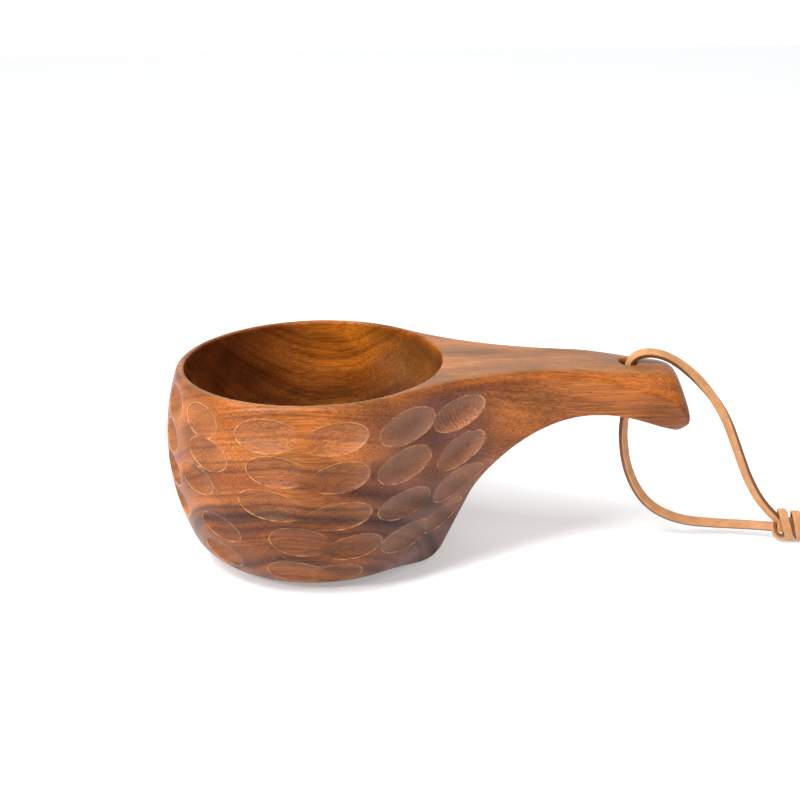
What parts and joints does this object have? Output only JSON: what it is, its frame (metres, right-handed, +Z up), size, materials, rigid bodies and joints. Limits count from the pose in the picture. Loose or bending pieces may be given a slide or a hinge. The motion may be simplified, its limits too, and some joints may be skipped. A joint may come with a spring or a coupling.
{
  "type": "kuksa cup",
  "caption": "Round wooden drinking cup carved in one with its handle, with a knotted leather thong through the handle.",
  "frame": {"origin": "centre of the flat base under the bowl, on the table", "axes": "+X from the bowl's centre to the end of the handle, +Z up out of the bowl"},
  "size_m": [0.227, 0.098, 0.0685],
  "materials": {
    "wood": "hand-carved, oiled, satin",
    "thong": "raw cut edges, matt"
  },
  "bodies": {
    "cup": {"cup": "wood"},
    "thong": {"thong_upper": "thong", "thong_lower": "thong", "thong_knot": "thong", "thong_tail_long": "thong", "thong_tail_short": "thong"}
  },
  "joints": [
    {"name": "thong_swivel", "type": "hinge", "parent": "cup", "child": "thong", "pos_m": [0.1025, 0, 0.057], "axis": [0, 0, 1], "range_deg": [-90, 90]}
  ]
}
